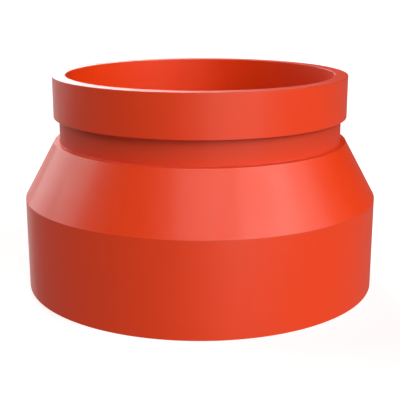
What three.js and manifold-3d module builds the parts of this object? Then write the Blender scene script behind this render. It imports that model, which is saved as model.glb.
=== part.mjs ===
// A pipe adapter, nominal size 4 in: a grooved end that a coupling grips, a cone, and a wider hub
// with a female taper thread. It is built up from three turned shells and two butt welds.
// Millimetres, +Z up. The origin is the centre of the hub's end face, and the grooved end is on top.

import * as THREE from 'three';
import { mergeVertices } from 'three/addons/utils/BufferGeometryUtils.js';
import Module from 'manifold-3d';

const wasm = await Module();
wasm.setup();

// ---------------------------------------------------------------- driving dimensions

const OVERALL_LENGTH = 82.55;

// Grooved end
const PIPE_DIAMETER = 114.3;
const PIPE_WALL = 5.1;
const LIP_LENGTH = 15.88;
const GROOVE_WIDTH = 9.53;
const GROOVE_DEPTH = 2.11;
const GROOVE_FILLET = 0.4;
const BORE_BELOW_SHOULDER = 3.1; // how far the straight bore runs on below the groove

// Female taper thread, right-handed
const THREAD_PITCH = 3.175;
const THREAD_PITCH_DIAMETER = 111.43; // at the hub's end face
const THREAD_LENGTH = 33;
const THREAD_TAPER = 1 / 16; // on the diameter
const THREAD_ANGLE = 60; // degrees between the flanks
const THREAD_HEIGHT_PER_PITCH = 0.8;
const UNCUT_ALLOWANCE = 1; // metal left inside the thread's crests before it is cut

// Hub
const HUB_WALL = 12.065; // outside the thread's major diameter, at the end face
const HUB_PAST_THREAD = 2.5; // how far the hub's straight side runs on above the thread
const MOUTH_CLEARANCE = 1.5; // radius of the countersunk mouth less that of the thread
const RECESS_CLEARANCE = 2; // radius of the recess behind the thread less that of the thread
const RECESS_PAST_HUB = 2.5; // how far the recess runs on above the hub's straight side

// Welds
const WELD_CAP_HALF = 2.2; // half the weld's width outside, along the surface
const WELD_ROOT_HALF = 0.8; // half the gap between the shells inside
const WELD_BEAD = 0.5; // how far the root bead stands into the bore
const WELD_BELOW_SHOULDER = 1.2; // plain cone between the shoulder's edge and the small weld

const SEGMENTS = 72; // flats round every turned piece, and steps in a turn of the thread
const FILLET_STEPS = 3;
const ENAMEL_COLOR = 0xe8452a;
const ENAMEL_ROUGHNESS = 0.4;

// ---------------------------------------------------------------- sizes worked out from them

const pipeRadius = PIPE_DIAMETER / 2;
const boreRadius = pipeRadius - PIPE_WALL;
const grooveRadius = pipeRadius - GROOVE_DEPTH;
const lipBottom = OVERALL_LENGTH - LIP_LENGTH;
const shoulder = lipBottom - GROOVE_WIDTH;

const threadHeight = THREAD_HEIGHT_PER_PITCH * THREAD_PITCH;
const threadMajorRadius = (THREAD_PITCH_DIAMETER + threadHeight) / 2;
const threadMinorRadius = (THREAD_PITCH_DIAMETER - threadHeight) / 2;
const flankRun = threadHeight * Math.tan(THREE.MathUtils.degToRad(THREAD_ANGLE / 2));
const flatRun = THREAD_PITCH / 2 - flankRun;
// The ring's hole before the thread is cut: inside the thread's crests all the way.
const uncutRadius = threadMinorRadius - (THREAD_LENGTH * THREAD_TAPER) / 2 - UNCUT_ALLOWANCE;

const hubRadius = threadMajorRadius + HUB_WALL;
const crease = THREAD_LENGTH + HUB_PAST_THREAD;
const mouthRadius = threadMajorRadius + MOUTH_CLEARANCE;
const recessRadius = threadMajorRadius + RECESS_CLEARANCE;
const recessTop = crease + RECESS_PAST_HUB;
const straightBoreBottom = shoulder - BORE_BELOW_SHOULDER;

// The cone outside runs from the hub's edge up to the shoulder's edge, and the one inside from the
// recess up to the straight bore.
const coneFoot = new THREE.Vector2(hubRadius, crease);
const coneTop = new THREE.Vector2(pipeRadius, shoulder);
const innerFoot = new THREE.Vector2(recessRadius, recessTop);
const innerTop = new THREE.Vector2(boreRadius, straightBoreBottom);

// The edges that a weld shares with the shells on each side of it.
const smallWeld = {
  upperToe: pointOnCone(coneTop, coneFoot, WELD_BELOW_SHOULDER),
  lowerToe: pointOnCone(coneTop, coneFoot, WELD_BELOW_SHOULDER + 2 * WELD_CAP_HALF),
  upperRoot: new THREE.Vector2(boreRadius, straightBoreBottom + WELD_ROOT_HALF),
  lowerRoot: pointOnCone(innerTop, innerFoot, WELD_ROOT_HALF),
};
const largeWeld = {
  upperToe: pointOnCone(coneFoot, coneTop, WELD_CAP_HALF),
  lowerToe: new THREE.Vector2(hubRadius, crease - WELD_CAP_HALF),
  upperRoot: new THREE.Vector2(recessRadius, crease + WELD_ROOT_HALF),
  lowerRoot: new THREE.Vector2(recessRadius, crease - WELD_ROOT_HALF),
};

// ---------------------------------------------------------------- helpers

// The point that lies a given distance from one end of a cone's side towards the other end.
function pointOnCone(from, to, distance) {
  return from.clone().add(to.clone().sub(from).setLength(distance));
}

// Points (radius, height) along an arc, with angles in degrees from the direction away from the axis.
function arc(centre, radius, from, to, steps) {
  const points = [];
  for (let step = 0; step <= steps; step += 1) {
    const angle = THREE.MathUtils.degToRad(from + ((to - from) * step) / steps);
    const x = centre.x + radius * Math.cos(angle);
    const y = centre.y + radius * Math.sin(angle);
    points.push(new THREE.Vector2(x, y));
  }
  return points;
}

// Turns a closed outline of (radius, height) points about the Z axis. The outline goes down its
// inner side and up its outer side, so that the faces point out.
function turned(outline) {
  const geometry = new THREE.LatheGeometry([...outline, outline[0].clone()], SEGMENTS);
  return geometry.rotateX(Math.PI / 2);
}

// A weld's root bead: a shallow hump between its two root edges, towards the axis.
function rootBead(fromEdge, toEdge) {
  const middle = fromEdge.clone().lerp(toEdge, 0.5);
  return [fromEdge, new THREE.Vector2(middle.x - WELD_BEAD, middle.y), toEdge];
}

function toSolid(geometry) {
  const bare = geometry.clone();
  bare.deleteAttribute('normal');
  bare.deleteAttribute('uv');
  const merged = mergeVertices(bare);
  const vertProperties = new Float32Array(merged.attributes.position.array);
  const triVerts = new Uint32Array(merged.index.array);
  return new wasm.Manifold(new wasm.Mesh({ numProp: 3, vertProperties, triVerts }));
}

function toGeometry(solid) {
  const mesh = solid.getMesh();
  const geometry = new THREE.BufferGeometry();
  geometry.setAttribute('position', new THREE.BufferAttribute(mesh.vertProperties, 3));
  geometry.setIndex(new THREE.BufferAttribute(mesh.triVerts, 1));
  geometry.computeVertexNormals();
  return geometry;
}

function enamelled(name, geometry) {
  const material = new THREE.MeshStandardMaterial({
    color: ENAMEL_COLOR,
    roughness: ENAMEL_ROUGHNESS,
    metalness: 0,
  });
  const mesh = new THREE.Mesh(geometry, material);
  mesh.name = name;
  return mesh;
}

// ---------------------------------------------------------------- pieces

// Lip, groove and shoulder, down to the bevel of the small weld.
function groovedEnd() {
  const filletCentre = new THREE.Vector2(grooveRadius + GROOVE_FILLET, shoulder + GROOVE_FILLET);
  return turned([
    new THREE.Vector2(boreRadius, OVERALL_LENGTH),
    smallWeld.upperRoot,
    smallWeld.upperToe,
    coneTop,
    ...arc(filletCentre, GROOVE_FILLET, 270, 180, FILLET_STEPS),
    new THREE.Vector2(grooveRadius, lipBottom),
    new THREE.Vector2(pipeRadius, lipBottom),
    new THREE.Vector2(pipeRadius, OVERALL_LENGTH),
  ]);
}

function smallEndWeld() {
  return turned([
    ...rootBead(smallWeld.upperRoot, smallWeld.lowerRoot),
    smallWeld.lowerToe,
    smallWeld.upperToe,
  ]);
}

function coneShell() {
  return turned([
    smallWeld.lowerRoot,
    innerFoot,
    largeWeld.upperRoot,
    largeWeld.upperToe,
    smallWeld.lowerToe,
  ]);
}

// The crease between the hub and the cone is dressed in this weld's cap.
function largeEndWeld() {
  return turned([
    ...rootBead(largeWeld.upperRoot, largeWeld.lowerRoot),
    largeWeld.lowerToe,
    coneFoot,
    largeWeld.upperToe,
  ]);
}

// The cutter for the thread: a tapered screw whose crests cut the thread's roots. Each column of
// points is a step of one turn higher than the last, so that the last column lies on the first one
// a whole pitch further up. Both ends close onto the axis, outside the metal that is cut.
function threadCutter() {
  const onePitch = [
    [0, threadMajorRadius],
    [flatRun, threadMajorRadius],
    [flatRun + flankRun, threadMinorRadius],
    [2 * flatRun + flankRun, threadMinorRadius],
  ];
  const rowsPerTurn = onePitch.length;
  const turnsPastEnd = 2;
  const bottom = -turnsPastEnd * THREAD_PITCH;
  const turns = Math.ceil(THREAD_LENGTH / THREAD_PITCH) + 2 * turnsPastEnd;
  const lastRow = turns * rowsPerTurn;

  const point = (column, row) => {
    const [rise, radiusAtFace] = onePitch[row % rowsPerTurn];
    const turn = Math.floor(row / rowsPerTurn) + column / SEGMENTS;
    const z = bottom + turn * THREAD_PITCH + rise;
    const radius = radiusAtFace - (z * THREAD_TAPER) / 2;
    const angle = (2 * Math.PI * (column % SEGMENTS)) / SEGMENTS;
    return new THREE.Vector3(radius * Math.cos(angle), radius * Math.sin(angle), z);
  };
  // The last column's top is a whole pitch above the first one's.
  const top = bottom + (turns + 1) * THREAD_PITCH;
  const below = new THREE.Vector3(0, 0, bottom - THREAD_PITCH);
  const above = new THREE.Vector3(0, 0, top + THREAD_PITCH);

  const corners = [];
  for (let column = 0; column < SEGMENTS; column += 1) {
    const next = column + 1;
    for (let row = 0; row < lastRow; row += 1) {
      corners.push(point(column, row), point(next, row), point(next, row + 1));
      corners.push(point(column, row), point(next, row + 1), point(column, row + 1));
    }
    corners.push(point(next, 0), point(column, 0), below);
    corners.push(point(column, lastRow), point(next, lastRow), above);
  }
  for (let row = 0; row < rowsPerTurn; row += 1) {
    const topRow = lastRow - rowsPerTurn + row;
    corners.push(point(0, row), point(0, row + 1), below);
    corners.push(point(SEGMENTS, topRow + 1), point(SEGMENTS, topRow), above);
  }
  return new THREE.BufferGeometry().setFromPoints(corners);
}

// A thick ring with a countersunk mouth below and a wider recess above, in which the thread is cut.
function threadedHub() {
  const ring = turned([
    largeWeld.lowerRoot,
    new THREE.Vector2(recessRadius, THREAD_LENGTH),
    new THREE.Vector2(uncutRadius, THREAD_LENGTH),
    new THREE.Vector2(uncutRadius, mouthRadius - uncutRadius),
    new THREE.Vector2(mouthRadius, 0),
    new THREE.Vector2(hubRadius, 0),
    largeWeld.lowerToe,
  ]);
  return toGeometry(toSolid(ring).subtract(toSolid(threadCutter())));
}

// ---------------------------------------------------------------- the adapter

const adapter = new THREE.Group();
adapter.add(
  enamelled('grooved_end', groovedEnd()),
  enamelled('small_end_weld', smallEndWeld()),
  enamelled('cone_shell', coneShell()),
  enamelled('large_end_weld', largeEndWeld()),
  enamelled('threaded_hub', threadedHub()),
);

export default adapter;
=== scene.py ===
"""The finished surfaces of a 4 in grooved to threaded pipe adapter, around its CAD frame, and a studio.

The adapter stands on its hub, with its axis on +Z and the grooved end on top. Lengths are in
metres. Each turned piece is drawn as an outline of (radius, height) points, which goes once round
the metal of its section, and is then turned about the axis.
"""

import math

import bmesh
import bpy
from bpy.props import FloatProperty, FloatVectorProperty, IntProperty, PointerProperty
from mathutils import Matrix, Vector, noise


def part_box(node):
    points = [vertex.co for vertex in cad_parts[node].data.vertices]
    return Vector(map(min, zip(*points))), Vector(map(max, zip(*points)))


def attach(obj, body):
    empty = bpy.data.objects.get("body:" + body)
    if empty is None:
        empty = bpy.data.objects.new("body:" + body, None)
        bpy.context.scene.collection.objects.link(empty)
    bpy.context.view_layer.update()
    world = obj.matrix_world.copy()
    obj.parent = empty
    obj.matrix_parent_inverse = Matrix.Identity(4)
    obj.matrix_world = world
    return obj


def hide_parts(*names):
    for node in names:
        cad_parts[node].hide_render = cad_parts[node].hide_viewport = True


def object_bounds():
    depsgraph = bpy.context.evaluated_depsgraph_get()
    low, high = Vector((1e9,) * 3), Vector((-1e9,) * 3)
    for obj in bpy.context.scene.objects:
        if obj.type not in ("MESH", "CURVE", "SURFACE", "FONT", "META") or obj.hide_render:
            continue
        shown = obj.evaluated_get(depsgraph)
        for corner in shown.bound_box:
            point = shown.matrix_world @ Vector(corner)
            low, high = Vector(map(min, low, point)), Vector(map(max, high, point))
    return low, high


bl_info = {
    "name": "Pipe Adapter",
    "version": (1, 0, 0),
    "blender": (4, 5, 0),
    "location": "3D View > Sidebar > Pipe Adapter",
    "description": "Makes the surfaces of a grooved to threaded pipe adapter and lights them",
    "category": "Add Mesh",
}

BODY = "root"
MM = 0.001
FULL_TURN = 2 * math.pi

SEGMENTS = 288  # sides of a turned piece, four to each flat of the CAD model
FILLET_STEP = math.radians(15)
LEAST_FILLET_STEPS = 3
SHARP = math.radians(35)  # a steeper edge than this is shaded as an edge
THREAD_SHARP = math.radians(25)
SAME = 0.02 * MM  # two of the CAD model's sizes are one and the same when they are closer than this
TINY = 1e-5  # more than the rounding error of a stored place

SHOULDER_GROOVE_SHADE = 0.35  # share, on the shoulder, of the painted shade and dry spray that the groove has right under the lip
BEAD_STEPS = 10  # strips across a weld's root bead
FLOOR_HALF = 12
LAMP_DISTANCE = 1

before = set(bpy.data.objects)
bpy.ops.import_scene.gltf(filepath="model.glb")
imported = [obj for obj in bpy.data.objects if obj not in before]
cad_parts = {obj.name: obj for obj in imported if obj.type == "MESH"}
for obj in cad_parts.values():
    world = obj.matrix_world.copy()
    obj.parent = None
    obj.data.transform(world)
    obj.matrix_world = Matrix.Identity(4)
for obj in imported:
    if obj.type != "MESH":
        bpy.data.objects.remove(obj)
cad_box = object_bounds()


# ---------------------------------------------------------------- sizes, read off the CAD nodes


def corners(node):
    """(radius, height) of every corner of a CAD node."""
    points = (vertex.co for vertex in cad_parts[node].data.vertices)
    return [(math.hypot(point.x, point.y), point.z) for point in points]


def radii(node, height):
    """The least and the greatest radius of a CAD node's corners at one height."""
    found = [radius for radius, z in corners(node) if abs(z - height) < SAME]
    return min(found), max(found)


def heights(node, radius):
    """The lowest and the highest of a CAD node's corners at one radius."""
    found = [z for r, z in corners(node) if abs(r - radius) < SAME]
    return min(found), max(found)


RIM = cad_box[1].z
HUB_RADIUS = cad_box[1].x
BORE_RADIUS, PIPE_RADIUS = radii("grooved_end", RIM)
SHOULDER = heights("grooved_end", PIPE_RADIUS)[0]
GROOVE_RADIUS = min(r for r, z in corners("grooved_end") if r > BORE_RADIUS + MM)
GROOVE_FILLET = heights("grooved_end", GROOVE_RADIUS)[0] - SHOULDER
LIP_BOTTOM = heights("grooved_end", GROOVE_RADIUS)[1]
CREASE = heights("large_end_weld", HUB_RADIUS)[1]
MOUTH_RADIUS = radii("threaded_hub", 0)[0]
RECESS_RADIUS = radii("cone_shell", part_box("cone_shell")[0].z)[0]
THREAD_TOP = heights("threaded_hub", RECESS_RADIUS)[0]
RECESS_TOP = heights("cone_shell", RECESS_RADIUS)[1]

# The edges where a weld meets the shells above and below it: toes outside, roots inside.
SMALL_WELD_UPPER_TOE = (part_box("grooved_end")[1].x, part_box("small_end_weld")[1].z)
SMALL_WELD_LOWER_TOE = (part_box("small_end_weld")[1].x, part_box("small_end_weld")[0].z)
SMALL_WELD_UPPER_ROOT = (BORE_RADIUS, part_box("grooved_end")[0].z)
SMALL_WELD_LOWER_ROOT = (min(corners("cone_shell"))[0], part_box("cone_shell")[1].z)
LARGE_WELD_UPPER_TOE = (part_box("cone_shell")[1].x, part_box("large_end_weld")[1].z)
LARGE_WELD_LOWER_TOE = (HUB_RADIUS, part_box("large_end_weld")[0].z)
LARGE_WELD_UPPER_ROOT = (RECESS_RADIUS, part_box("cone_shell")[0].z)
LARGE_WELD_LOWER_ROOT = (RECESS_RADIUS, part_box("threaded_hub")[1].z)


# ---------------------------------------------------------------- settings


def length(label, text, value, low, high):
    return FloatProperty(
        name=label,
        description=text,
        default=value,
        min=low,
        max=high,
        precision=5,
        unit="LENGTH",
        subtype="DISTANCE",
    )


def share(label, text, value, high=1):
    return FloatProperty(
        name=label, description=text, default=value, min=0, max=high, subtype="FACTOR"
    )


def colour(label, text, value):
    return FloatVectorProperty(
        name=label, description=text, default=value, min=0, max=1, size=3, subtype="COLOR"
    )


def angle(label, text, degrees):
    return FloatProperty(
        name=label, description=text, default=math.radians(degrees), subtype="ANGLE"
    )


class EdgeSettings(bpy.types.PropertyGroup):
    """The edges of the turned pieces."""

    edge: length("Edge radius", "Rounding of the turned edges", 0.12 * MM, 0.02 * MM, 1 * MM)
    crease: length(
        "Crease radius", "Rounding of the crease dressed in the large weld", 0.3 * MM, 0.02 * MM, 2 * MM
    )
    inner_corner: length(
        "Inner corner radius", "Enamel that lies in the groove's upper corner", 0.25 * MM, 0.02 * MM, 1 * MM
    )
    recess_corner: length(
        "Recess corner radius", "Rounding at the top of the recess", 1 * MM, 0.02 * MM, 2 * MM
    )
    ledge: length(
        "Hold", "Length beside a rounded edge that keeps the flat side's shading", 0.1 * MM, 0.01 * MM, 1 * MM
    )


class WeldSettings(bpy.types.PropertyGroup):
    """The root beads inside the two butt welds."""

    bead: length("Bead height", "How far a root bead stands in", 0.42 * MM, 0, 1 * MM)
    ripple: length("Ripple height", "Depth of a bead's ripples", 0.1 * MM, 0, 0.5 * MM)
    ripple_spacing: length("Ripple spacing", "Distance between ripples", 1.6 * MM, 0.5 * MM, 5 * MM)
    ripple_lag: angle("Ripple lag", "How far a ripple's middle lags behind its ends", math.degrees(3.3))
    sides: IntProperty(
        name="Sides per flat",
        description="How many times finer a weld is divided round the axis than its neighbours",
        default=5,
        min=1,
        max=8,
    )


class ThreadSettings(bpy.types.PropertyGroup):
    """The female taper thread, right-handed."""

    pitch: length("Pitch", "Rise of the thread in one turn", 3.175 * MM, 1 * MM, 5 * MM)
    pitch_diameter: length(
        "Pitch diameter", "Pitch diameter at the hub's end face", 111.43 * MM, 100 * MM, 115 * MM
    )
    taper: share("Taper", "Taper on the diameter", 1 / 16)
    flank_angle: angle("Thread angle", "Angle between the flanks", 60)
    height: share("Thread height", "Height of the thread in pitches", 0.8)


class EnamelSettings(bpy.types.PropertyGroup):
    """Gloss orange-red enamel."""

    colour: colour("Colour", "Colour of a full coat", (0.86, 0.048, 0.002))
    deep: colour("Deep colour", "Colour where the coat is thickest", (0.83, 0.045, 0.001))
    thin: colour("Thin colour", "Colour where the coat draws back from an edge", (0.55, 0.040, 0.010))
    # Painted shade: the groove is darkened towards this colour, most right under the lip.
    painted_groove_shade: colour(
        "Sheltered colour", "Colour in the groove, where the least spray reaches", (0.62, 0.035, 0.002)
    )
    roughness: share("Roughness", "Roughness under the gloss", 0.42)
    dry_spray: share("Dry spray", "Extra roughness in the groove, where the spray lands dry", 0.27)
    gloss: share("Gloss", "Weight of the glossy outer skin", 0.1)
    gloss_roughness: share("Gloss roughness", "Roughness of the glossy outer skin", 0.14)
    peel: length("Orange peel", "Height of the orange peel", 0.016 * MM, 0, 0.1 * MM)


class MachinedSettings(bpy.types.PropertyGroup):
    """Bare machined iron with a film of oil."""

    colour: colour("Colour", "Colour of clean machined iron", (0.36, 0.35, 0.34))
    oil: colour("Oil colour", "Colour where oil lies in the thread", (0.16, 0.135, 0.10))
    roughness: share("Roughness", "Roughness of the cut surface", 0.34)


class StudioSettings(bpy.types.PropertyGroup):
    """The camera, the lights and the floor."""

    focal_length: FloatProperty(
        name="Focal length",
        description="The camera's focal length",
        default=78.75,
        min=20,
        max=200,
        unit="CAMERA",
    )
    distance: length("Distance", "From the camera to the point it looks at", 0.3547, 0.2, 2)
    elevation: angle("Elevation", "The camera's height above the level", 14.865)
    aim: length("Aim", "Height of the point that the camera looks at", 31.1 * MM, 0, 0.1)
    bounce: share("Bounce", "Brightness of the light that the floor sends up", 0.25, 2)
    backdrop: share("Backdrop", "Brightness of the backdrop behind the floor", 1.0, 2)
    floor: colour("Floor", "Colour of the floor", (0.62, 0.62, 0.62))
    floor_glow: share("Floor glow", "Brightness of the floor's own light, as of a light table", 0.95, 2)


class AdapterSettings(bpy.types.PropertyGroup):
    """Every setting of the adapter and its studio."""

    edges: PointerProperty(type=EdgeSettings, name="Edges")
    welds: PointerProperty(type=WeldSettings, name="Welds")
    thread: PointerProperty(type=ThreadSettings, name="Thread")
    enamel: PointerProperty(type=EnamelSettings, name="Enamel")
    machined: PointerProperty(type=MachinedSettings, name="Machined metal")
    studio: PointerProperty(type=StudioSettings, name="Studio")


# ---------------------------------------------------------------- turned meshes


def rounded(outline, ledge):
    """Rounds an outline's corners.

    The outline is a list of (point, radius), and a radius of zero keeps its corner. Returns a list
    of (radius, height, bend), where bend is 1 on a rounded edge and 0 elsewhere. Each side keeps an
    extra point a ledge away from its rounded ends, so that it stays flat in the shading.
    """
    points = []
    count = len(outline)
    for index, (corner, radius) in enumerate(outline):
        corner = Vector(corner)
        if radius == 0:
            points.append((*corner, 0.0))
            continue
        before = (Vector(outline[index - 1][0]) - corner).normalized()
        after = (Vector(outline[(index + 1) % count][0]) - corner).normalized()
        half = before.angle(after) / 2
        reach = radius / math.tan(half)
        centre = corner + (before + after).normalized() * radius / math.sin(half)
        start, end = corner + before * reach, corner + after * reach
        sweep = math.pi - 2 * half
        steps = max(LEAST_FILLET_STEPS, math.ceil(sweep / FILLET_STEP))
        points.append((*(start + before * ledge), 0.0))
        for step in range(steps + 1):
            direction = (start - centre).slerp(end - centre, step / steps)
            points.append((*(centre + direction.normalized() * radius), 1.0))
        points.append((*(end + after * ledge), 0.0))
    return points


def turned_mesh(name, points, segments=SEGMENTS, shift=None):
    """Turns a closed outline of (radius, height, bend) about the axis.

    shift(index, turn) gives how far a point of the outline moves in or out at one turn round the
    axis, in metres along the radius.
    """
    build = bmesh.new()
    bends = build.verts.layers.float.new("bend")
    rings = []
    for index, (radius, height, bend) in enumerate(points):
        ring = []
        for segment in range(segments):
            turn = FULL_TURN * segment / segments
            out = radius + (shift(index, turn) if shift else 0)
            corner = build.verts.new((out * math.cos(turn), out * math.sin(turn), height))
            corner[bends] = bend
            ring.append(corner)
        rings.append(ring)
    for ring, following in zip(rings, rings[1:] + rings[:1]):
        for segment in range(segments):
            ahead = (segment + 1) % segments
            build.faces.new((ring[segment], ring[ahead], following[ahead], following[segment]))
    bmesh.ops.recalc_face_normals(build, faces=build.faces)
    mesh = bpy.data.meshes.new(name)
    build.to_mesh(mesh)
    build.free()
    mesh.shade_smooth()
    mesh.set_sharp_from_angle(angle=SHARP)
    return mesh


def place(name, mesh, material, slot, *nodes):
    """Puts a finished mesh on the adapter, in place of some CAD nodes."""
    piece = bpy.data.objects.new(name, mesh)
    bpy.context.scene.collection.objects.link(piece)
    piece.data.materials.clear()
    piece.data.materials.append(material)
    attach(piece, BODY)
    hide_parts(*nodes)
    return piece


# ---------------------------------------------------------------- materials


class Nodes:
    """The nodes of a material or a world."""

    def __init__(self, owner, shader, output, coordinates):
        self.owner = owner
        owner.use_nodes = True
        self.tree = owner.node_tree
        self.tree.nodes.clear()
        self.shader = self.tree.nodes.new(shader)
        end = self.tree.nodes.new(output)
        self.link(self.shader.outputs[0], end.inputs["Surface"])
        self.place = self.tree.nodes.new("ShaderNodeTexCoord").outputs[coordinates]

    @classmethod
    def of_material(cls, name):
        return cls(
            bpy.data.materials.new(name),
            "ShaderNodeBsdfPrincipled",
            "ShaderNodeOutputMaterial",
            "Object",
        )

    @classmethod
    def of_world(cls, name):
        return cls(
            bpy.data.worlds.new(name), "ShaderNodeBackground", "ShaderNodeOutputWorld", "Generated"
        )

    def link(self, output, socket):
        self.tree.links.new(output, socket)

    def feed(self, value, socket):
        """Sets a socket to a plain value, or links another node's output to it."""
        if isinstance(value, bpy.types.NodeSocket):
            self.link(value, socket)
        elif socket.type == "RGBA":
            socket.default_value = (*value[:3], 1.0)
        else:
            socket.default_value = value

    def stretched(self, across, along):
        """The place on the adapter, with other scales across the axis and along it."""
        node = self.tree.nodes.new("ShaderNodeMapping")
        node.inputs["Scale"].default_value = (across, across, along)
        self.link(self.place, node.inputs["Vector"])
        return node.outputs["Vector"]

    def noise(self, size, detail=2.0, roughness=0.5, at=None):
        """Noise from 0 to 1 with features of about one size, in metres."""
        node = self.tree.nodes.new("ShaderNodeTexNoise")
        node.inputs["Scale"].default_value = 1 / size
        node.inputs["Detail"].default_value = detail
        node.inputs["Roughness"].default_value = roughness
        self.link(at or self.place, node.inputs["Vector"])
        return node.outputs["Fac"]

    def range(self, value, low, high, to_low=0.0, to_high=1.0):
        """Takes the range from low to high onto another one, and holds the value within it."""
        node = self.tree.nodes.new("ShaderNodeMapRange")
        self.feed(value, node.inputs["Value"])
        node.inputs["From Min"].default_value = low
        node.inputs["From Max"].default_value = high
        node.inputs["To Min"].default_value = to_low
        node.inputs["To Max"].default_value = to_high
        return node.outputs["Result"]

    def math(self, operation, first, second):
        node = self.tree.nodes.new("ShaderNodeMath")
        node.operation = operation
        self.feed(first, node.inputs[0])
        self.feed(second, node.inputs[1])
        return node.outputs["Value"]

    def mix(self, amount, first, second):
        """Blends two colours."""
        node = self.tree.nodes.new("ShaderNodeMix")
        node.data_type = "RGBA"
        self.feed(amount, node.inputs["Factor"])
        self.feed(first, node.inputs["A"])
        self.feed(second, node.inputs["B"])
        return node.outputs["Result"]

    def attribute(self, name):
        node = self.tree.nodes.new("ShaderNodeAttribute")
        node.attribute_name = name
        return node.outputs["Fac"]

    def bump(self, height, distance, under=None):
        node = self.tree.nodes.new("ShaderNodeBump")
        node.inputs["Strength"].default_value = 1.0
        node.inputs["Distance"].default_value = distance
        self.feed(height, node.inputs["Height"])
        if under:
            self.link(under, node.inputs["Normal"])
        return node.outputs["Normal"]


def enamel_material(settings):
    """Gloss enamel: a soft orange peel, slow changes of depth, a thinner coat on the edges, and painted shade
    in the groove.
    """
    nodes = Nodes.of_material("orange_enamel")
    broad = nodes.noise(45 * MM, detail=3)
    cloud = nodes.noise(9 * MM, detail=4, roughness=0.6)
    peel = nodes.noise(2.4 * MM, detail=1.5)
    grain = nodes.noise(0.6 * MM, detail=2)
    speck = nodes.range(nodes.noise(1.1 * MM, detail=0), 0.79, 0.83)
    groove_shade_and_dry_spray = nodes.attribute("groove_shade_and_dry_spray")

    broad_share = 0.6
    broad = nodes.math("MULTIPLY", broad, broad_share)
    depth = nodes.math("ADD", broad, nodes.math("MULTIPLY", cloud, 1 - broad_share))
    coat = nodes.mix(nodes.range(depth, 0.35, 0.65), settings.deep, settings.colour)
    # Painted shade: the groove darkens towards the lip, darkest right under it.
    coat = nodes.mix(groove_shade_and_dry_spray, coat, settings.painted_groove_shade)
    thinned = nodes.range(cloud, 0.30, 0.75, 0.25, 0.85)
    edge = nodes.math("MULTIPLY", nodes.attribute("bend"), thinned)
    nodes.feed(nodes.mix(edge, coat, settings.thin), nodes.shader.inputs["Base Color"])

    dull = nodes.range(cloud, 0.3, 0.7, settings.roughness - 0.03, settings.roughness + 0.04)
    edge_dullness = 0.08
    dull = nodes.math("ADD", dull, nodes.math("MULTIPLY", edge, edge_dullness))
    dry = nodes.range(groove_shade_and_dry_spray, 0, SHOULDER_GROOVE_SHADE, 0, settings.dry_spray)
    nodes.feed(nodes.math("ADD", dull, dry), nodes.shader.inputs["Roughness"])

    skin = nodes.bump(peel, settings.peel)
    skin = nodes.bump(grain, settings.peel * 0.12, skin)
    skin = nodes.bump(speck, settings.peel * 1.2, skin)
    nodes.link(skin, nodes.shader.inputs["Normal"])
    nodes.shader.inputs["IOR"].default_value = 1.5
    nodes.shader.inputs["Coat Weight"].default_value = settings.gloss
    nodes.shader.inputs["Coat Roughness"].default_value = settings.gloss_roughness
    return nodes.owner


def machined_material(settings):
    """Bare cut iron: fine turning marks round the axis, and oil that gathers in patches."""
    nodes = Nodes.of_material("machined_iron")
    marks = nodes.noise(1 * MM, detail=3, roughness=0.65, at=nodes.stretched(0.02, 9))
    chatter = nodes.noise(1 * MM, detail=1, at=nodes.stretched(0.4, 1.2))
    film = nodes.noise(14 * MM, detail=4, roughness=0.6)
    oiled = nodes.range(film, 0.42, 0.62)

    in_the_marks = nodes.range(marks, 0.3, 0.7, 0, 0.35)
    bare = nodes.mix(in_the_marks, settings.colour, settings.oil)
    film_depth = 0.6
    wet = nodes.math("MULTIPLY", oiled, film_depth)
    nodes.feed(nodes.mix(wet, bare, settings.oil), nodes.shader.inputs["Base Color"])

    rough = nodes.range(marks, 0.25, 0.75, settings.roughness - 0.06, settings.roughness + 0.12)
    smoothing = 0.12
    smoothed = nodes.math("MULTIPLY", oiled, smoothing)
    nodes.feed(nodes.math("SUBTRACT", rough, smoothed), nodes.shader.inputs["Roughness"])

    mark_depth, chatter_depth = 0.012 * MM, 0.01 * MM
    skin = nodes.bump(chatter, chatter_depth, nodes.bump(marks, mark_depth))
    nodes.link(skin, nodes.shader.inputs["Normal"])
    nodes.shader.inputs["Metallic"].default_value = 1.0
    return nodes.owner


def material(name):
    """One of the two finishes, made when it is first asked for."""
    settings = bpy.context.scene.pipe_adapter
    if name == "enamel":
        return bpy.data.materials.get("orange_enamel") or enamel_material(settings.enamel)
    return bpy.data.materials.get("machined_iron") or machined_material(settings.machined)


# ---------------------------------------------------------------- pieces


class MakeGroovedEnd(bpy.types.Operator):
    """Make the pipe end with its lip and groove"""

    bl_idname = "pipe_adapter.grooved_end"
    bl_label = "Grooved end"

    def execute(self, context):
        edges = context.scene.pipe_adapter.edges
        outline = [
            ((BORE_RADIUS, RIM), edges.edge),
            (SMALL_WELD_UPPER_ROOT, 0),
            (SMALL_WELD_UPPER_TOE, 0),
            ((PIPE_RADIUS, SHOULDER), edges.edge),
            ((GROOVE_RADIUS, SHOULDER), GROOVE_FILLET),
            ((GROOVE_RADIUS, LIP_BOTTOM), edges.inner_corner),
            ((PIPE_RADIUS, LIP_BOTTOM), edges.edge),
            ((PIPE_RADIUS, RIM), edges.edge),
        ]
        mesh = turned_mesh("grooved_pipe_end", rounded(outline, edges.ledge))
        self.groove_shade_and_dry_spray(mesh)
        place("grooved_pipe_end", mesh, material("enamel"), "enamel", "grooved_end")
        return {"FINISHED"}

    @staticmethod
    def groove_shade_and_dry_spray(mesh):
        """Marks the groove's painted shade and dry spray: least on the shoulder, most under the lip."""
        layer = mesh.attributes.new("groove_shade_and_dry_spray", "FLOAT", "POINT")
        for corner, mark in zip(mesh.vertices, layer.data):
            radius = math.hypot(corner.co.x, corner.co.y)
            rise = (corner.co.z - SHOULDER) / (LIP_BOTTOM - SHOULDER)
            if radius > GROOVE_RADIUS - TINY and -TINY < rise < 1 + TINY:
                mark.value = SHOULDER_GROOVE_SHADE + (1 - SHOULDER_GROOVE_SHADE) * rise


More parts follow.
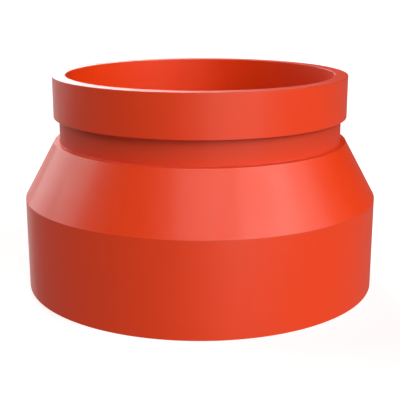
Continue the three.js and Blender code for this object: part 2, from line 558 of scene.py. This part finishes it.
class MakeCone(bpy.types.Operator):
    """Make the cone between the grooved end and the hub"""

    bl_idname = "pipe_adapter.cone"
    bl_label = "Cone"

    def execute(self, context):
        edges = context.scene.pipe_adapter.edges
        outline = [
            (SMALL_WELD_LOWER_ROOT, 0),
            ((RECESS_RADIUS, RECESS_TOP), edges.recess_corner),
            (LARGE_WELD_UPPER_ROOT, 0),
            (LARGE_WELD_UPPER_TOE, 0),
            (SMALL_WELD_LOWER_TOE, 0),
        ]
        mesh = turned_mesh("cone_body", rounded(outline, edges.ledge))
        place("cone_body", mesh, material("enamel"), "enamel", "cone_shell")
        return {"FINISHED"}


class MakeWelds(bpy.types.Operator):
    """Make the two butt welds, flush outside and with a rippled bead inside"""

    bl_idname = "pipe_adapter.welds"
    bl_label = "Welds"

    def execute(self, context):
        settings = context.scene.pipe_adapter
        self.weld(
            settings,
            "small_butt_weld",
            "small_end_weld",
            SMALL_WELD_UPPER_ROOT,
            SMALL_WELD_LOWER_ROOT,
            [(SMALL_WELD_LOWER_TOE, 0), (SMALL_WELD_UPPER_TOE, 0)],
        )
        self.weld(
            settings,
            "large_butt_weld",
            "large_end_weld",
            LARGE_WELD_UPPER_ROOT,
            LARGE_WELD_LOWER_ROOT,
            [
                (LARGE_WELD_LOWER_TOE, 0),
                ((HUB_RADIUS, CREASE), settings.edges.crease),
                (LARGE_WELD_UPPER_TOE, 0),
            ],
        )
        return {"FINISHED"}

    @staticmethod
    def weld(settings, name, node, upper_root, lower_root, cap):
        """A weld between two roots, with a bead that stands in towards the axis."""
        welds = settings.welds
        upper, lower = Vector(upper_root), Vector(lower_root)
        bead = []
        for step in range(1, BEAD_STEPS):
            along = step / BEAD_STEPS
            point = upper.lerp(lower, along)
            bead.append((point.x - welds.bead * math.sin(math.pi * along), point.y, 0.0))
        outer = rounded([(upper_root, 0), (lower_root, 0), *cap], settings.edges.ledge)
        points = [outer[0], *bead, *outer[1:]]
        ripples = round(FULL_TURN * upper.x / welds.ripple_spacing)
        patch = 3  # how fast the bead's unevenness changes round the turn
        drift = 4  # how far the unevenness pushes the ripples along the bead, in radians

        def shift(index, turn):
            """Crescents along the bead, a little uneven, and none at its edges."""
            if not 1 <= index < BEAD_STEPS:
                return 0
            spread = math.sin(math.pi * index / BEAD_STEPS)
            spot = (patch * math.cos(turn), patch * math.sin(turn), upper.y / MM)
            uneven = noise.noise(spot)
            wave = math.cos(ripples * turn - welds.ripple_lag * spread + drift * uneven)
            return -welds.ripple * spread * (0.5 * wave + 0.6 * uneven)

        mesh = turned_mesh(name, points, SEGMENTS * welds.sides, shift)
        place(name, mesh, material("enamel"), "enamel", node)


class MakeHub(bpy.types.Operator):
    """Make the hub's enamelled ring"""

    bl_idname = "pipe_adapter.hub"
    bl_label = "Hub"

    def execute(self, context):
        edges = context.scene.pipe_adapter.edges
        outline = [
            (LARGE_WELD_LOWER_ROOT, 0),
            ((RECESS_RADIUS, THREAD_TOP), 0),
            ((MOUTH_RADIUS, 0), 0),
            ((HUB_RADIUS, 0), edges.edge),
            (LARGE_WELD_LOWER_TOE, 0),
        ]
        mesh = turned_mesh("hub_ring", rounded(outline, edges.ledge))
        place("hub_ring", mesh, material("enamel"), "enamel", "threaded_hub")
        return {"FINISHED"}


class MakeThread(bpy.types.Operator):
    """Make the hub's bare machined inside: countersink, taper thread and the wall above it"""

    bl_idname = "pipe_adapter.thread"
    bl_label = "Thread"

    def execute(self, context):
        thread = context.scene.pipe_adapter.thread
        height = thread.height * thread.pitch
        crest = (thread.pitch_diameter - height) / 2
        root = (thread.pitch_diameter + height) / 2
        allowance = 1 * MM  # metal inside the crests, which the cutter takes away
        blank = crest - thread.taper / 2 * THREAD_TOP - allowance
        outline = [
            (RECESS_RADIUS, THREAD_TOP, 0.0),
            (blank, THREAD_TOP, 0.0),
            (blank, MOUTH_RADIUS - blank, 0.0),
            (MOUTH_RADIUS, 0.0, 0.0),
        ]
        ring = bpy.data.objects.new("thread_blank", turned_mesh("thread_blank", outline))
        cutter = bpy.data.objects.new("thread_cutter", self.cutter(thread, crest, root, height))
        for tool in (ring, cutter):
            context.scene.collection.objects.link(tool)
        cut = ring.modifiers.new("cut", "BOOLEAN")
        cut.operation = "DIFFERENCE"
        cut.solver = "MANIFOLD"
        cut.object = cutter
        graph = context.evaluated_depsgraph_get()
        mesh = bpy.data.meshes.new_from_object(ring.evaluated_get(graph))
        for tool in (ring, cutter):
            bpy.data.objects.remove(tool)
        flanks = 2 * THREAD_TOP / thread.pitch
        if len(mesh.vertices) < SEGMENTS * 2 * flanks:
            raise RuntimeError("the thread wasn't cut")
        mesh.name = "pipe_thread"
        mesh.shade_smooth()
        mesh.set_sharp_from_angle(angle=THREAD_SHARP)
        place("pipe_thread", mesh, material("machined"), "machined", "threaded_hub")
        return {"FINISHED"}

    @staticmethod
    def cutter(thread, crest, root, height):
        """A tapered screw whose crests cut the thread's roots, closed onto the axis at both ends."""
        run = height * math.tan(thread.flank_angle / 2)
        flat = thread.pitch / 2 - run
        middle = (crest + root) / 2
        one_pitch = [
            (0, root),
            (flat, root),
            (flat + run / 2, middle),
            (flat + run, crest),
            (2 * flat + run, crest),
            (2 * flat + 1.5 * run, middle),
        ]
        rows = len(one_pitch)
        spare = 2
        turns = math.ceil(THREAD_TOP / thread.pitch) + 2 * spare
        last = turns * rows
        build = bmesh.new()

        def corner(column, row):
            rise, radius = one_pitch[row % rows]
            height = (row // rows - spare + column / SEGMENTS) * thread.pitch + rise
            turn = FULL_TURN * column / SEGMENTS
            out = radius - height * thread.taper / 2
            return build.verts.new((out * math.cos(turn), out * math.sin(turn), height))

        columns = [[corner(column, row) for row in range(last + 1)] for column in range(SEGMENTS)]
        # One turn on, the first column comes round again a whole pitch lower.
        top = [corner(SEGMENTS, row) for row in range(last - rows + 1, last + 1)]
        columns.append(columns[0][rows:] + top)
        for column, following in zip(columns, columns[1:]):
            for row in range(last):
                build.faces.new(
                    (column[row], following[row], following[row + 1], column[row + 1])
                )
        below = build.verts.new((0, 0, -(spare + 1) * thread.pitch))
        above = build.verts.new((0, 0, (turns - spare + 2) * thread.pitch))
        for column, following in zip(columns, columns[1:]):
            build.faces.new((following[0], column[0], below))
            build.faces.new((column[last], following[last], above))
        for row in range(rows):
            build.faces.new((columns[0][row], columns[0][row + 1], below))
            build.faces.new((columns[-1][last - row], columns[-1][last - row - 1], above))
        bmesh.ops.recalc_face_normals(build, faces=build.faces)
        mesh = bpy.data.meshes.new("thread_cutter")
        build.to_mesh(mesh)
        build.free()
        return mesh


# ---------------------------------------------------------------- studio


def around(azimuth, elevation, distance):
    """A point round the adapter. Azimuth is in degrees anticlockwise from +X, seen from above."""
    turn, rise = math.radians(azimuth), math.radians(elevation)
    level = distance * math.cos(rise)
    return Vector((level * math.cos(turn), level * math.sin(turn), distance * math.sin(rise)))


class MakeStage(bpy.types.Operator):
    """Make the floor, the lights and the camera"""

    bl_idname = "pipe_adapter.stage"
    bl_label = "Stage"

    def execute(self, context):
        studio = context.scene.pipe_adapter.studio
        aim = Vector((0, 0, studio.aim))
        self.floor(studio)
        self.world(studio)
        self.lamp("key_light", azimuth=-40, elevation=30, spread=40, strength=1.28)
        self.lamp("right_light", azimuth=-15, elevation=30, spread=34, strength=0.6)
        self.lamp("front_light", azimuth=-65, elevation=10, spread=60, strength=1.0)
        self.lamp("top_light", azimuth=-90, elevation=52, spread=34, strength=0.83)
        self.lamp("back_light", azimuth=107, elevation=24, spread=28, strength=2.1)
        self.lamp("side_light", azimuth=140, elevation=8, spread=28, strength=0.52)
        self.lamp("left_light", azimuth=165, elevation=28, spread=28, strength=0.7)
        self.lamp("floor_light", azimuth=112, elevation=-16, spread=34, strength=0.17)
        self.camera(studio, aim)
        context.scene.view_settings.view_transform = "Standard"
        return {"FINISHED"}

    @staticmethod
    def floor(studio):
        mesh = bpy.data.meshes.new("studio_floor")
        build = bmesh.new()
        quarters = ((-1, -1), (1, -1), (1, 1), (-1, 1))
        build.faces.new([build.verts.new((FLOOR_HALF * x, FLOOR_HALF * y, 0)) for x, y in quarters])
        build.to_mesh(mesh)
        build.free()
        nodes = Nodes.of_material("studio_floor")
        nodes.feed(studio.floor, nodes.shader.inputs["Base Color"])
        nodes.feed(studio.floor, nodes.shader.inputs["Emission Color"])
        nodes.shader.inputs["Emission Strength"].default_value = studio.floor_glow
        nodes.shader.inputs["Roughness"].default_value = 1.0
        nodes.shader.inputs["Specular IOR Level"].default_value = 0.0
        mesh.materials.append(nodes.owner)
        floor = bpy.data.objects.new("studio_floor", mesh)
        # The light that comes up off the floor is the world's and the floor light's. The floor
        # itself gives none, and lets them through.
        floor.visible_diffuse = False
        floor.visible_glossy = False
        floor.visible_shadow = False
        bpy.context.scene.collection.objects.link(floor)

    @staticmethod
    def world(studio):
        """White behind the stage, black for light from above, and a floor's glow from below."""
        nodes = Nodes.of_world("studio_world")
        nodes.shader.inputs["Color"].default_value = (1, 1, 1, 1)
        split = nodes.tree.nodes.new("ShaderNodeSeparateXYZ")
        nodes.link(nodes.place, split.inputs["Vector"])
        horizon = 0.1
        light = nodes.range(split.outputs["Z"], -horizon, horizon, studio.bounce, 0)
        seen = nodes.tree.nodes.new("ShaderNodeLightPath").outputs["Is Camera Ray"]
        strength = nodes.math("MAXIMUM", light, nodes.math("MULTIPLY", seen, studio.backdrop))
        nodes.feed(strength, nodes.shader.inputs["Strength"])
        bpy.context.scene.world = nodes.owner

    @staticmethod
    def lamp(name, azimuth, elevation, spread, strength):
        """A large soft lamp, so far off that it lights the whole floor alike."""
        data = bpy.data.lights.new(name, "SUN")
        data.angle = math.radians(spread)
        data.energy = strength
        lamp = bpy.data.objects.new(name, data)
        lamp.location = around(azimuth, elevation, LAMP_DISTANCE)
        lamp.rotation_euler = lamp.location.to_track_quat("Z", "Y").to_euler()
        lamp.visible_camera = False
        bpy.context.scene.collection.objects.link(lamp)

    @staticmethod
    def camera(studio, aim):
        data = bpy.data.cameras.new("studio_camera")
        data.lens = studio.focal_length
        data.clip_start = 0.01
        data.clip_end = 50
        camera = bpy.data.objects.new("studio_camera", data)
        camera.location = aim + around(-90, math.degrees(studio.elevation), studio.distance)
        camera.rotation_euler = (aim - camera.location).to_track_quat("-Z", "Y").to_euler()
        bpy.context.scene.collection.objects.link(camera)
        bpy.context.scene.camera = camera


# ---------------------------------------------------------------- add-on


class AdapterPanel(bpy.types.Panel):
    """Lists the adapter's pieces and settings"""

    bl_idname = "VIEW3D_PT_pipe_adapter"
    bl_label = "Pipe Adapter"
    bl_space_type = "VIEW_3D"
    bl_region_type = "UI"
    bl_category = "Pipe Adapter"

    def draw(self, context):
        settings = context.scene.pipe_adapter
        for operator in OPERATORS:
            self.layout.operator(operator.bl_idname)
        for name in AdapterSettings.__annotations__:
            group = getattr(settings, name)
            box = self.layout.box()
            box.label(text=name.capitalize())
            for setting in type(group).__annotations__:
                box.prop(group, setting)


OPERATORS = (MakeGroovedEnd, MakeWelds, MakeCone, MakeHub, MakeThread, MakeStage)
CLASSES = (
    EdgeSettings,
    WeldSettings,
    ThreadSettings,
    EnamelSettings,
    MachinedSettings,
    StudioSettings,
    AdapterSettings,
    *OPERATORS,
    AdapterPanel,
)


def register():
    for cls in CLASSES:
        bpy.utils.register_class(cls)
    bpy.types.Scene.pipe_adapter = PointerProperty(type=AdapterSettings)


def unregister():
    del bpy.types.Scene.pipe_adapter
    for cls in reversed(CLASSES):
        bpy.utils.unregister_class(cls)


def main():
    register()
    bpy.ops.pipe_adapter.grooved_end()
    bpy.ops.pipe_adapter.welds()
    bpy.ops.pipe_adapter.cone()
    bpy.ops.pipe_adapter.hub()
    bpy.ops.pipe_adapter.thread()
    bpy.ops.pipe_adapter.stage()


if __name__ == "__main__":
    main()
